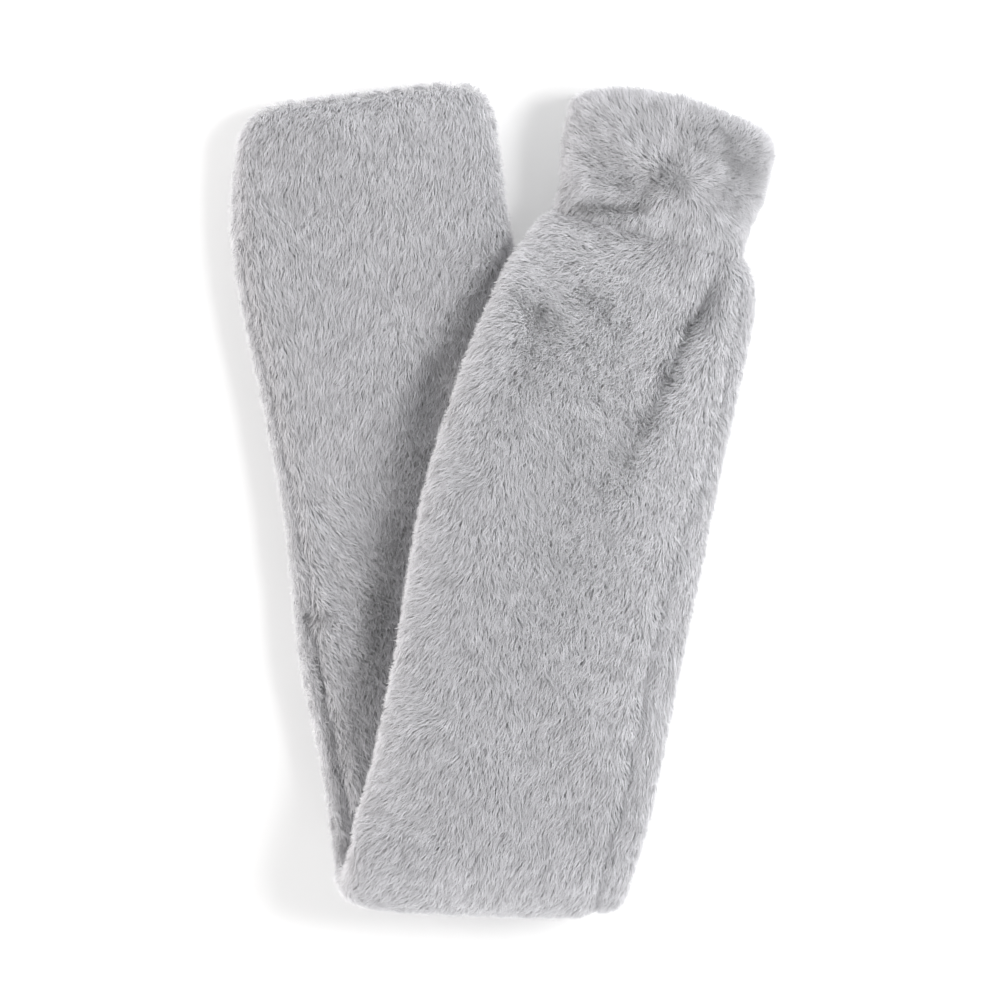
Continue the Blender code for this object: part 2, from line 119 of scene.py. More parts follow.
UPPER_LIMB = [
    #        x       y       z     turn   roll  width depth sag   seam
    Section(3.6, -146.0, 52.6, -13.0, 0.0, 67.0, 17.0, 1.0, 20.0),
    Section(11.8, -110.7, 52.4, -13.0, 1.0, 67.0, 17.0, 4.0, 20.5),
    Section(19.2, -72.7, 52.0, -13.0, 2.0, 67.4, 17.0, 9.0, 21.0),
    Section(30.0, -15.7, 51.2, -13.2, 4.0, 68.6, 17.0, 14.0, 20.0),
    Section(39.2, 21.1, 49.4, -14.0, 6.5, 67.4, 17.0, 18.0, 15.0),
    Section(50.2, 59.4, 42.0, -14.5, 8.0, 65.2, 17.0, 17.0, 13.5),
    Section(56.6, 78.9, 35.0, -15.0, 9.0, 63.2, 17.0, 12.0, 15.0),
    Section(61.4, 93.3, 28.6, -15.0, 9.0, 61.6, 17.0, 7.0, 15.5),
    Section(66.4, 106.4, 24.6, -15.0, 6.0, 58.2, 17.0, 3.0, 15.0),
    Section(69.4, 118.4, 23.2, -14.4, 3.0, 52.8, 16.6, 1.0, 12.0),
    Section(71.4, 129.8, 22.8, -13.8, 1.5, 41.6, 14.6, 0.0, 8.0),
    Section(74.6, 140.9, 22.6, -14.6, 1.0, 39.6, 14.0, 0.0, 6.0),
    Section(79.6, 159.6, 22.6, -15.8, 0.0, 40.6, 14.2, 0.0, 6.0),
    Section(86.2, 185.0, 22.6, -17.0, 0.0, 40.8, 13.6, 0.0, 6.0),
]
COLLAR_START_ROW = 10
SAG_POWER = 1.8

# Creases and dents of the upper faces: soft troughs, or ridges where the depth is negative.
Crease = namedtuple("Crease", "half_width points")

CREASES = {
    "gather below the collar": Crease(
        11.0, [(103, 114, 3.0), (91, 80, 4.6), (78, 52, 4.2), (66, 28, 3.0), (49, 4, 0.6)]
    ),
    "swell beside the gather": Crease(12.0, [(112, 100, -1.8), (104, 58, -1.6)]),
    "hollow inside the left shoulder": Crease(14.0, [(24, 100, 1.6), (20, 78, 2.4)]),
    "swell of the left shoulder": Crease(13.0, [(6, 86, -1.2), (-8, 60, -1.2)]),
    "pinch in the middle": Crease(8.0, [(50, -3, -1.4), (76, 4, -1.4)]),
    "hollow under the pinch": Crease(12.0, [(52, -16, 1.2), (80, -10, 1.2)]),
    "hollow near the fold": Crease(22.0, [(22, -118, 1.4), (12, -90, 1.0)]),
    "dent of the lower limb": Crease(14.0, [(-30, 60, 2.0), (-34, 40, 1.6)]),
    "side dent": Crease(10.0, [(-87, 2, 1.8), (-84, -6, 1.2)]),
    "swirl": Crease(11.0, [(-83, -32, 2.0), (-74, -48, 1.4)]),
    "pucker at the seam": Crease(8.0, [(-98, -48, 1.6), (-86, -58, 1.6)]),
    "collar's left dimple": Crease(14.0, [(50, 160, 2.2), (66, 150, 2.2)]),
    "collar's right dimple": Crease(12.0, [(106, 168, 2.2), (111, 154, 1.8)]),
    "collar's ridge": Crease(10.0, [(91, 186, -1.6), (89, 160, -1.0)]),
}

# Sharper creases that only the sheets and the pile have.
FINE_CREASES = {
    "cut of the gather": Crease(
        5.0, [(102, 107, 1.0), (94, 89, 4.4), (88, 80, 6.0), (83, 67, 3.6), (80, 58, 5.4), (71, 41, 2.0)]
    ),
    "pit of the left shoulder": Crease(7.0, [(16, 92, 1.2), (18, 84, 1.6), (14, 74, 0.8)]),
    "tuck under the collar": Crease(5.0, [(47, 141, 2.0), (60, 137, 2.4), (72, 136, 1.4)]),
}

# Waves over the plan: low lumps of the cloth, and how the pile sways to either side, in radians.
Wave = namedtuple("Wave", "height along_x along_y phase")
LUMPS = [Wave(0.45, 0.071, 0.052, 0.6), Wave(0.35, -0.047, 0.113, 2.1)]
SWAY = [Wave(0.14, 0.21, 0.13, 0.0), Wave(0.1, -0.1, 0.29, 0.0)]

# The sheets: where the pile is rooted, and how finely they are divided.
ROOT_DEPTH = 3.7           # the pile stands this far over its ground
COVERED_ROOT_DEPTH = 1.6   # the same, pressed flat under the collar
ROOT_FLOOR = 3.0           # the ground lies this far over the surface below, on pressed pile
GROUND_GROOVE = 2.4        # the ground dips this far into each seam
GROUND_GROOVE_WIDTH = 6.0
ROW_STEP = 3.0
COLUMNS = 44
FOLD_ROWS = 26
END_ROWS = 10
COLLAR_COLUMNS = 104
COLLAR_OUTSIDE_STEPS = 30
COLLAR_INSIDE_STEPS = 8

# The collar's sheet: distance up the neck and stand-off from it, once round its own section.
CollarPoint = namedtuple("CollarPoint", "along stand_off")
COLLAR_OUTSIDE = [
    CollarPoint(-0.6, 0.9),
    CollarPoint(0.4, 2.0),
    CollarPoint(7.0, 3.0),
    CollarPoint(18.0, 4.7),
    CollarPoint(30.0, 5.3),
    CollarPoint(41.0, 4.7),
    CollarPoint(46.0, 4.2),
    CollarPoint(49.0, 3.0),
    CollarPoint(50.2, 1.2),
    CollarPoint(49.0, -0.8),
    CollarPoint(45.0, -1.8),
    CollarPoint(38.2, -1.9),
]
COLLAR_INSIDE = [
    CollarPoint(38.2, 0.2),
    CollarPoint(30.0, 0.2),
    CollarPoint(15.0, 0.2),
    CollarPoint(0.0, 0.2),
]

Frame = namedtuple("Frame", "centre across depth section")
Grid = namedtuple("Grid", "places outward along inward from_seam upper")

# How the pile is combed on the upper faces: places and directions seen from above, in degrees. Many of
# the two limbs' directions are what a program measured in the photograph. The collar's are given one by
# one.
Stroke = namedtuple("Stroke", "x y angle")
LOWER_COMB = [
    Stroke(-114, 166, -92),
    Stroke(-82, 172, -94),
    Stroke(-39, 178, -92),
    Stroke(-11, 160, -100),
    Stroke(-114, 123, -70),
    Stroke(-96, 127, -88),
    Stroke(-72, 127, -96),
    Stroke(-44, 123, -92),
    Stroke(-15, 108, -104),
    Stroke(-101, 80, -74),
    Stroke(-79, 75, -104),
    Stroke(-40, 78, -90),
    Stroke(-98, 28, -76),
    Stroke(-77, 28, -98),
    Stroke(-50, 30, -94),
    Stroke(-95, -10, -66),
    Stroke(-78, -8, -44),
    Stroke(-77, -25, -26),
    Stroke(-56, -18, -88),
    Stroke(-93, -48, -62),
    Stroke(-79, -53, -34),
    Stroke(-77, -72, -32),
    Stroke(-60, -64, -76),
    Stroke(-79, -105, -56),
    Stroke(-62, -96, -84),
    Stroke(-74, -143, -60),
]
UPPER_COMB = [
    Stroke(-2, 96, -164),
    Stroke(-14, 60, -160),
    Stroke(-26, 24, -160),
    Stroke(-38, -20, -162),
    Stroke(-46, -58, -164),
    Stroke(-51, -96, -164),
    Stroke(-58, -134, -160),
    Stroke(28, 130, -172),
    Stroke(9, 106, -160),
    Stroke(47, 125, 172),
    Stroke(66, 130, -178),
    Stroke(89, 125, -124),
    Stroke(106, 123, -84),
    Stroke(2, 85, -150),
    Stroke(21, 89, 158),
    Stroke(42, 99, -146),
    Stroke(61, 99, -134),
    Stroke(80, 99, -104),
    Stroke(111, 94, -76),
    Stroke(-11, 61, -138),
    Stroke(14, 68, -126),
    Stroke(56, 66, -120),
    Stroke(78, 61, -150),
    Stroke(89, 80, -128),
    Stroke(111, 56, -98),
    Stroke(-22, 32, -130),
    Stroke(-1, 37, -88),
    Stroke(23, 32, -90),
    Stroke(47, 32, -104),
    Stroke(70, 32, -122),
    Stroke(94, 23, -104),
    Stroke(-34, -16, -128),
    Stroke(-12, -16, -102),
    Stroke(11, -16, -86),
    Stroke(38, -16, -114),
    Stroke(64, -16, -120),
    Stroke(88, -20, -108),
    Stroke(-44, -72, -126),
    Stroke(-25, -72, -112),
    Stroke(-1, -67, -86),
    Stroke(28, -72, -106),
    Stroke(51, -72, -120),
    Stroke(73, -72, -104),
    Stroke(-57, -128, -134),
    Stroke(-34, -128, -116),
    Stroke(-1, -128, -100),
    Stroke(28, -128, -112),
    Stroke(56, -128, -104),
    Stroke(-60, -172, -130),
    Stroke(0, -172, -108),
    Stroke(47, -172, -112),
]
COLLAR_COMB = [
    Stroke(45, 133, -114),
    Stroke(60, 130, -110),
    Stroke(76, 127, -104),
    Stroke(92, 123, -100),
    Stroke(108, 119, -95),
    Stroke(50, 192, 116),
    Stroke(80, 189, 98),
    Stroke(110, 184, 70),
    Stroke(130, 165, 20),
    Stroke(35, 175, 150),
    Stroke(54, 175, 140),
    Stroke(69, 177, 112),
    Stroke(81, 176, 94),
    Stroke(94, 172, 64),
    Stroke(113, 165, 34),
    Stroke(31, 156, -172),
    Stroke(49, 161, 164),
    Stroke(66, 163, 140),
    Stroke(80, 164, 96),
    Stroke(94, 156, 40),
    Stroke(113, 149, 10),
    Stroke(33, 144, -130),
    Stroke(51, 146, 178),
    Stroke(70, 146, -160),
    Stroke(85, 144, -100),
    Stroke(101, 142, -50),
    Stroke(118, 139, -40),
]
STROKE_REACH = 10.0        # how far one stroke's hand reaches, in millimetres
WAVER = 0.3                # how far the pile of steep faces wavers to either side
WAVER_TURN = 0.55          # of that wave, in radians for each millimetre
SIDE_STANDING = 0.45       # how far the pile of steep faces stands out
STEEP_STANDING = 0.55      # the same at most, where its directions cancel out
# The patches also make the painted shade of ruffled pile uneven.
PATCHINESS = 0.3           # how unevenly the pile is ruffled

# Where the pile stands up in short loose tufts and painted shade darkens it, and where it lies flatter if
# the amount is negative and painted light lightens it.
RUFFLING_WITH_PAINTED_LIGHT_AND_SHADE = [
    Crease(52.0, [(38, 84, 0.42), (44, 20, 0.38), (24, -50, 0.32), (12, -104, 0.08)]),
    Crease(44.0, [(-100, 186, -0.15), (-20, 194, -0.15)]),
    Crease(34.0, [(-50, -176, -0.3), (40, -180, -0.3)]),
    Crease(12.0, [(-4, 94, -0.2), (-26, 24, -0.35), (-44, -50, -0.35), (-57, -130, -0.3)]),
    Crease(9.0, [(103, 108, 0.3), (95, 91, 0.8), (88, 79, 1.1), (83, 66, 0.6), (80, 57, 0.7)]),
    Crease(11.0, [(80, 57, 0.1), (71, 42, 0.6), (60, 24, 0.4), (52, 8, 0.2)]),
    Crease(13.0, [(14, 93, 0.3), (19, 84, 0.5), (16, 66, 0.3), (4, 44, 0.2), (-8, 24, 0.2)]),
    Crease(13.0, [(44, 128, 0.2), (62, 128, 0.3), (80, 126, 0.2)]),
    Crease(12.0, [(46, 96, 0.2), (56, 84, 0.1)]),
    Crease(13.0, [(48, 168, 0.5), (54, 156, 0.6), (68, 148, 0.7), (82, 150, 0.9)]),
    Crease(20.0, [(99, 168, 0.8), (112, 160, 1.0), (110, 148, 0.9)]),
    Crease(12.0, [(29, 182, 0.9), (26, 150, 0.9)]),
    Crease(5.0, [(35, 140, 0.5), (44, 138.5, 1.3), (60, 137, 1.3), (67, 138.5, 0.6)]),
    Crease(9.0, [(-94, -54, 0.5), (-84, -56, 0.6)]),
    Crease(8.0, [(-73, -163, 1.0), (-72, -170, 1.0)]),
    Crease(2.6, [(-92, -54, 0.8), (-87, -84, 1.0), (-82, -110, 0.8), (-76, -137, 0.4), (-74, -150, 0.3)]),
]
# The same on the lower limb alone, beside the upper one: painted shade where the upper limb shadows it.
RUFFLING_WITH_PAINTED_SHADE_BELOW = [
    Crease(16.0, [(-5, 150, 0.1), (-8, 122, 0.45), (-14, 104, 0.4), (-36, 23, 0.35), (-50, -20, 0.4)]),
    Crease(20.0, [(-50, -20, 0.2), (-57, -46, 0.74), (-62, -82, 0.6), (-66, -112, 0.3)]),
]

# Between which upward parts of a face's outward direction each of these sets in.
COMBED_FACES = (-0.1, 0.5)
HANGING_FACES = (-0.95, -0.5)
PAINTED_SHADE_AND_RUFFLED_FACES = (-0.1, 0.35)
LEVEL_FACES = (0.4, 0.8)
FULL_PILE_FACES = (-0.7, 0.15)

# The pile, in millimetres and radians. A pair gives a value for pile that lies and for pile that stands.
PILE_LENGTH = 7.6
LEAST_LENGTH = 0.76  # shares of the length: the least, by chance, and by lock
CHANCE_LENGTH = 0.34
LOCK_LENGTH = 0.12
SHORTER = 0.3  # the share that is lost beside a seam, and where the pile stands
SHORTER_REACH = 3.0  # from a seam
ROOT_LEAN = (math.radians(42), math.radians(74))  # above the cloth, of a blade's lower half
TIP_LEAN = (math.radians(6), math.radians(56))  # the same, of its upper half
ROOT_STRAY = 0.14
ROOT_LOCK_STRAY = 0.12
TIP_STRAY = 0.13
TIP_TUFT_STRAY = 0.16
STRAY = (0.24, 0.64)  # how far single blades turn aside, and whole locks and tufts
LOCK_STRAY = (0.3, 1.2)
TUFT_STRAY = (0.3, 1.1)
LOCK_PULL = (0.08, 0.2)  # the share of the way that a blade is drawn to its lock's centre
TUFT_PULL = (0.16, 0.36)
MIDDLE_PULL = 0.45  # the share of that pull that acts on a blade's lower half
LOCK_SIZE = np.array((3.8, 3.8, 8.0))
TUFT_SIZE = np.array((1.3, 1.3, 4.0))
TUFT_SHIFT = 50.0  # sets the tufts' cells off from the locks'
CELL_PRIMES = np.array((73856093, 19349663, 83492791))
CELL_ROWS = 4096
LYING_PULL = 0.55  # the comb's pull that lays the pile down fully
SEAM_PARTING = 0.9  # how strongly the pile leans away from a seam
PARTING_REACH = 6.0
BLADE_WIDTH = 0.27
LEAST_WIDTH = 0.7
CHANCE_WIDTH = 0.6
ROLL = 0.45  # how far blades roll about their own length
LOWEST_PILE = 0.25
CLOTH_SHARE = 0.75  # of a blade's shading direction, the part that is the cloth's
LOCK_DEPTH = 0.5  # how much darker the darkest lock is
PANEL_BLADES = 98000  # in each of a panel's two meshes
COLLAR_BLADES = 48000
UNDERSIDE_PILE = 0.34  # shares of the pile on faces that look down, and under close cloth
SHELTERED_PILE = 0.22
SHELTER_START = 0.6  # over the cloth, where the search for cloth above begins
PANEL_SHELTER = 14.0
COLLAR_SHELTER = 8.0
FAR_FROM_SEAMS = 99.0
SEED = 11

# The soft lamps: where each stands, in degrees from +X and over the floor, and its side in metres.
Lamp = namedtuple("Lamp", "name azimuth elevation wide high power colour")
LAMP_DISTANCE = 1.6
LAMPS = [
    Lamp("right", 10, 50, 0.6, 0.6, 15.0, (1.0, 1.0, 1.0)),
    Lamp("left", 185, 12, 1.4, 0.5, 12.0, (1.0, 0.95, 0.92)),
    Lamp("far", 90, 14, 1.4, 0.5, 9.0, (1.0, 1.0, 1.0)),
    Lamp("near", 270, 20, 1.4, 0.5, 6.0, (1.0, 1.0, 1.0)),
]


def share_between(value, start, end):
    """How far a value has come from start to end, from 0 to 1."""
    return np.clip((value - start) / (end - start), 0.0, 1.0)


def unit(vectors):
    """Vectors along the last axis, made one long."""
    return vectors / np.maximum(np.linalg.norm(vectors, axis=-1, keepdims=True), 1e-12)


def by_standing(pair, standing):
    """The value between those for lying and for standing pile."""
    lying, upright = pair
    return lying + (upright - lying) * standing


def wave_height(waves, x, y):
    """The sum of waves at places seen from above."""
    return sum(wave.height * np.sin(wave.along_x * x + wave.along_y * y + wave.phase) for wave in waves)


# ---------------------------------------- the sleeve's path and sections


def travelled(rows):
    """The distance in plan along the rows' middles, one value a row."""
    steps = [math.hypot(b.x - a.x, b.y - a.y) for a, b in zip(rows, rows[1:])]
    return np.concatenate([[0.0], np.cumsum(steps)])


def eased(table, marks, at):
    """A table's row at a distance along its marks, eased through its rows column by column."""
    slopes = np.gradient(table, marks, axis=0)
    i = int(np.clip(np.searchsorted(marks, at, side="right") - 1, 0, len(marks) - 2))
    span = marks[i + 1] - marks[i]
    t = (at - marks[i]) / span
    rise = table[i] * (1 + 2 * t) * (1 - t) ** 2 + table[i + 1] * t * t * (3 - 2 * t)
    bend = slopes[i] * t * (1 - t) ** 2 - slopes[i + 1] * t * t * (1 - t)
    return rise + span * bend


def smooth_row(rows, marks, at):
    """The section at a distance along the rows."""
    return Section(*eased(np.array(rows), marks, at))


def limb_frame(section, upward):
    """A section's frame on a limb: depth points to the back panel, up on the lower limb."""
    turn = math.radians(section.turn)
    roll = math.radians(section.roll)
    across = (math.cos(turn) * math.cos(roll), math.sin(turn) * math.cos(roll), -math.sin(roll))
    depth = (math.cos(turn) * math.sin(roll), math.sin(turn) * math.sin(roll), math.cos(roll))
    centre = np.array((section.x, section.y, section.z))
    return Frame(centre, np.array(across), np.array(depth) * upward, section)


def fold_frames(start, after):
    """Frames round the fold: the last frame of the lower limb, turned about the fold's line."""
    line_turn = math.radians(FOLD_LINE_TURN)
    line = np.array((math.cos(line_turn), math.sin(line_turn), 0.0))
    above = start.centre + np.array((0.0, 0.0, FOLD_RADIUS))
    slant = np.cross(start.across, start.depth) @ line
    creep = FOLD_RADIUS * abs(slant) / math.sqrt(1.0 - slant ** 2)
    frames = []
    for share in np.linspace(0.0, 1.0, FOLD_ROWS + 1)[1:]:
        angle = math.pi * share
        turn = np.array(Matrix.Rotation(-angle, 3, Vector(line)))
        centre = above + turn @ (start.centre - above) + line * creep * angle
        section = Section(*(np.array(start.section) * (1 - share) + np.array(after) * share))
        frames.append(Frame(centre, turn @ start.across, turn @ start.depth, section._replace(sag=0.0)))
    return frames


def even_marks(start, end):
    """Distances from start to end about a row's step apart."""
    return np.linspace(start, end, int(round((end - start) / ROW_STEP)) + 1)


def sleeve_path():
    """All frames from the closed end to the neck's edge, and each one's distance from the closed end."""
    marks = travelled(LOWER_LIMB)
    rounded_end = END_EDGE_RADIUS * (1 - np.cos(np.linspace(0.0, math.pi / 2, END_ROWS + 1)))
    lower = np.concatenate([rounded_end, even_marks(END_EDGE_RADIUS, marks[-1])[1:]])
    frames = [limb_frame(smooth_row(LOWER_LIMB, marks, at), 1.0) for at in lower]
    frames += fold_frames(frames[-1], UPPER_LIMB[0])
    fold = lower[-1] + math.pi * FOLD_RADIUS * np.linspace(0.0, 1.0, FOLD_ROWS + 1)[1:]
    x, y, z = frames[-1].centre
    rows = [UPPER_LIMB[0]._replace(x=x, y=y, z=z, sag=0.0)] + UPPER_LIMB
    marks = travelled(rows)
    upper = even_marks(0.0, marks[COLLAR_START_ROW + 1] + COLLAR_LENGTH - LIP_DEPTH)[1:]
    frames += [limb_frame(smooth_row(rows, marks, at), -1.0) for at in upper]
    return frames, np.concatenate([lower, fold, fold[-1] + upper])


def oval(half_width, half_depth):
    """A closed superellipse as points and the distance round it, from the right edge to the back panel."""
    power = 2.0 / OVAL_POWER
    across = half_width * np.sign(np.cos(OVAL_ANGLES)) * np.abs(np.cos(OVAL_ANGLES)) ** power
    depth = half_depth * np.sign(np.sin(OVAL_ANGLES)) * np.abs(np.sin(OVAL_ANGLES)) ** power
    round_it = np.concatenate([[0.0], np.cumsum(np.hypot(np.diff(across), np.diff(depth)))])
    return across, depth, round_it


def seam_inside(seam, outer_sizes, inner_sizes):
    """How far a seam has crept round an inner oval, straight in from where it is on the outer oval."""
    angle = np.interp(seam, oval(*outer_sizes)[2], OVAL_ANGLES)
    return np.interp(angle, OVAL_ANGLES, oval(*inner_sizes)[2])


def rounded(at, radius):
    """How much of its full size a rounded end has reached at a distance from its tip."""
    return math.sqrt(max(0.0, 1.0 - max(1.0 - at / radius, 0.0) ** 2))


def end_sizes(section, at, inset):
    """Half width and half depth of the sleeve at an inset, near the closed end."""
    corner = END_CORNER_RADIUS - inset
    edge = END_EDGE_RADIUS - inset
    reached = max(at - inset, 0.0)
    half_width = section.half_width - inset - corner * (1.0 - rounded(reached, corner))
    half_depth = max((section.half_depth - inset) * rounded(reached, edge), THINNEST)
    return half_width, half_depth


def oval_points(half_width, half_depth, marks):
    """Points at distances round an oval, each with its outward direction in the section's plane."""
    across, depth, round_it = oval(half_width, half_depth)
    whole = round_it[-1]
    at = marks % whole
    ahead, behind = (at + NORMAL_REACH) % whole, (at - NORMAL_REACH) % whole
    run_u = np.interp(ahead, round_it, across) - np.interp(behind, round_it, across)
    run_n = np.interp(ahead, round_it, depth) - np.interp(behind, round_it, depth)
    outward = unit(np.stack([run_n, -run_u], axis=-1))
    return np.interp(at, round_it, across), np.interp(at, round_it, depth), outward


# ---------------------------------------- creases and the surface below


def one_crease_depth(crease, x, y):
    """One crease's depth at places seen from above, deepest along its line."""
    deepest = np.zeros_like(x)
    for (x0, y0, depth0), (x1, y1, depth1) in zip(crease.points, crease.points[1:]):
        run_x, run_y = x1 - x0, y1 - y0
        share = np.clip(((x - x0) * run_x + (y - y0) * run_y) / (run_x ** 2 + run_y ** 2), 0.0, 1.0)
        away = np.hypot(x - x0 - share * run_x, y - y0 - share * run_y) / crease.half_width
        here = (depth0 + (depth1 - depth0) * share) * np.maximum(0.0, 1.0 - away * away) ** 2
        deepest = np.where(np.abs(here) > np.abs(deepest), here, deepest)
    return deepest


def lowering(x, y):
    """How far creases and lumps lower the upper faces at places seen from above."""
    creases = [*CREASES.values(), *FINE_CREASES.values()]
    return sum(one_crease_depth(crease, x, y) for crease in creases) + wave_height(LUMPS, x, y)


def laid(frame, u, n, outward, floor, softness):
    """A section's points in the table's frame, sagged, creased and kept over the surface below."""
    half_width = frame.section.half_width
    places = frame.centre + np.multiply.outer(u, frame.across) + np.multiply.outer(n, frame.depth)
    places[:, 2] -= frame.section.sag * share_between(u, -half_width, half_width) ** SAG_POWER
    facing = np.outer(outward[:, 0], frame.across) + np.outer(outward[:, 1], frame.depth)
    facing_up = np.maximum(0.0, facing[:, 2])
    places[:, 2] -= lowering(places[:, 0], places[:, 1]) * softness * facing_up ** 2
    places[:, 2] = np.maximum(places[:, 2], floor)
    return places, facing


# ---------------------------------------- the sheets


def panel_row(frame, distance, past_rim, is_back, depth, covered_depth, floor, groove):
    """One row of a panel's face that lies a depth under the pile's tips."""
    covered = share_between(past_rim, *COLLAR_COVERS)
    near_end = max(0.0, 1.0 - distance / END_EDGE_RADIUS)
    softness = (1.0 - covered) * (1.0 - near_end)
    inset = depth + (covered_depth - depth) * share_between(past_rim, *NECK_THINS)
    lead = inset * max(0.0, 1.0 - distance / HOLLOW_LEAD)
    sizes = end_sizes(frame.section, max(distance + lead, inset), inset)
    seam = seam_inside(frame.section.seam, end_sizes(frame.section, distance, 0.0), sizes)
    whole = oval(*sizes)[2][-1]
    marks = np.linspace(SEAM_GAP / 2, whole / 2 - SEAM_GAP / 2, COLUMNS + 1)
    u, n, outward = oval_points(*sizes, marks - seam + (0.0 if is_back else whole / 2))
    from_seam = np.minimum(marks, whole / 2 - marks)
    dip = groove * softness * (1.0 - np.minimum(from_seam / GROUND_GROOVE_WIDTH, 1.0) ** 2) ** 2
    led = frame._replace(centre=frame.centre + np.cross(frame.across, frame.depth) * lead)
    places, facing = laid(led, u - outward[:, 0] * dip, n - outward[:, 1] * dip, outward, floor, softness)
    return places, facing, from_seam


def panel_grid(frames, distances, is_back, depth, covered_depth, floor, groove):
    """A panel's face as a grid from the closed end to the neck, in millimetres."""
    rim_at = distances[-1] - (COLLAR_LENGTH - LIP_DEPTH)
    rows = [
        panel_row(frame, at, at - rim_at, is_back, depth, covered_depth, floor, groove)
        for frame, at in zip(frames, distances)
    ]
    places, facing, from_seam = (np.array(column) for column in zip(*rows))
    past_fold = np.where(distances > fold_middle(), 1.0, 0.0)
    upper = np.repeat(past_fold[:, None], COLUMNS + 1, axis=1)
    return finished_grid(places - OUTLINE_MIDDLE, facing, from_seam, upper)


def fold_middle():
    """The distance from the closed end to the middle of the fold."""
    return travelled(LOWER_LIMB)[-1] + math.pi * FOLD_RADIUS / 2


def finished_grid(places, facing, from_seam, upper, closed=False):
    """A grid with its true outward directions and the direction along its rows."""
    along = np.gradient(places, axis=0)
    if closed:
        around = (np.roll(places, -1, axis=1) - np.roll(places, 1, axis=1)) / 2
    else:
        around = np.gradient(places, axis=1)
    outward = unit(np.cross(along, around))
    outward *= np.sign(np.sum(outward * facing))
    columns = places.shape[1]
    inward = unit(around) * np.sign(columns / 2 - 0.5 - np.arange(columns))[:, None]
    return Grid(places, outward, unit(along), inward, from_seam, upper)


def collar_grid(points):
    """A ring of the collar's sheet round the neck for each point of its section."""
    marks = travelled(UPPER_LIMB)
    places, facings = [], []
    for along, stand_off in points:
        at = min(marks[COLLAR_START_ROW] + along, marks[-1])
        frame = limb_frame(smooth_row(UPPER_LIMB, marks, at), -1.0)
        sizes = (frame.section.half_width + stand_off, frame.section.half_depth + stand_off)
        whole = oval(*sizes)[2][-1]
        u, n, outward = oval_points(*sizes, np.linspace(0.0, whole, COLLAR_COLUMNS + 1)[:-1])
        up_lip = max(0.0, (along - (COLLAR_LENGTH - LIP_DEPTH)) / LIP_DEPTH)
        crown = np.interp(u / sizes[0], *zip(*LIP_REACH)) * up_lip
        flare = FLARE_RIM + (FLARE_LIP - FLARE_RIM) * along / COLLAR_LENGTH
        flare *= share_between(stand_off, *FLARED_FACES) * share_between(-u, 0.0, sizes[0]) ** 2
        softness = 1.0 if stand_off > FLARED_FACES[0] else 0.0
        ring, facing = laid(frame, u, n, outward, ROOT_FLOOR, softness)
        ring += np.outer(crown, np.cross(frame.across, frame.depth)) - np.outer(flare, frame.across)
        places.append(ring - OUTLINE_MIDDLE)
        facings.append(facing)
    return np.array(places), np.array(facings)


def smooth_points(points, steps):
    """Points along a smooth line through the given ones."""
    table = np.array(points)
    marks = np.concatenate([[0.0], np.cumsum(np.hypot(*np.diff(table, axis=0).T))])
    return [eased(table, marks, at) for at in np.linspace(0.0, marks[-1], steps + 1)]


def quads(rows, columns, first=0, closed=False):
    """Quads over a grid of points numbered row by row."""
    index = np.arange(rows * columns).reshape(rows, columns) + first
    if closed:
        index = np.concatenate([index, index[:, :1]], axis=1)
    a, b, c, d = index[:-1, :-1], index[:-1, 1:], index[1:, 1:], index[1:, :-1]
    return np.stack([a, b, c, d], axis=-1).reshape(-1, 4)


def strip(line_a, line_b):
    """Quads between two lines of point numbers."""
    return np.stack([line_a[:-1], line_a[1:], line_b[1:], line_b[:-1]], axis=-1)


def mesh_object(name, points, faces, material):
    """A smooth mesh object from points in millimetres."""
    mesh = bpy.data.meshes.new(name)
    mesh.from_pydata((points * MM).tolist(), [], faces.tolist())
    mesh.shade_smooth()
    mesh.materials.append(material)
    made = bpy.data.objects.new(name, mesh)
    bpy.context.scene.collection.objects.link(made)
    return made


def face_out(obj):
    """Turns a closed mesh's faces outwards."""
    work = bmesh.new()
    work.from_mesh(obj.data)
    bmesh.ops.recalc_face_normals(work, faces=work.faces)
    work.to_mesh(obj.data)
    work.free()


def panel_sheet(name, outer, inner, material):
    """A panel's closed sheet between its outer and inner faces."""
    rows, wide = outer.places.shape[:2]
    points = np.concatenate([outer.places.reshape(-1, 3), inner.places.reshape(-1, 3)])
    upper = np.arange(rows * wide).reshape(rows, wide)
    lower = upper + rows * wide
    faces = [quads(rows, wide), quads(rows, wide, rows * wide)[:, ::-1]]
    for side in (0, -1):
        faces.append(strip(upper[:, side], lower[:, side]))
        faces.append(strip(upper[side], lower[side]))
    made = mesh_object(name, points, np.concatenate(faces), material)
    face_out(made)
    return made


def collar_sheet(name, places, material):
    """The collar's closed ring of cloth."""
    rings, wide = places.shape[:2]
    faces = [quads(rings, wide, closed=True)]
    last = np.arange(wide) + (rings - 1) * wide
    first = np.arange(wide)
    faces.append(strip(np.append(last, last[0]), np.append(first, first[0])))
    made = mesh_object(name, places.reshape(-1, 3), np.concatenate(faces), material)
    face_out(made)
    return made


# ---------------------------------------- the pile


def stroked(places, strokes):
    """The direction seen from above of the strokes nearest to places."""
    table = np.array(strokes, float)
    away = np.hypot(places[:, :1] - table[:, 0], places[:, 1:2] - table[:, 1])
    nearest = away.min(axis=1, keepdims=True)
    weight = np.exp(-(away ** 2 - nearest ** 2) / (2 * STROKE_REACH ** 2))
    angle = np.radians(table[:, 2])
    plan = np.stack([weight @ np.cos(angle), weight @ np.sin(angle), np.zeros(len(places))], axis=-1)
    return plan / weight.sum(axis=1, keepdims=True)


def patches(x, y):
    """Uneven patches a few centimetres wide, from -1 to 1."""
    return np.sin(0.31 * x + 0.17 * y + 1.9 * np.sin(0.11 * y)) * np.sin(0.13 * x - 0.24 * y + 0.8)


def broken(y):
    """An uneven wave along the seams, from 0.2 to 1."""
    return 0.6 + 0.4 * np.sin(0.19 * y + 1.7 * np.sin(0.05 * y))


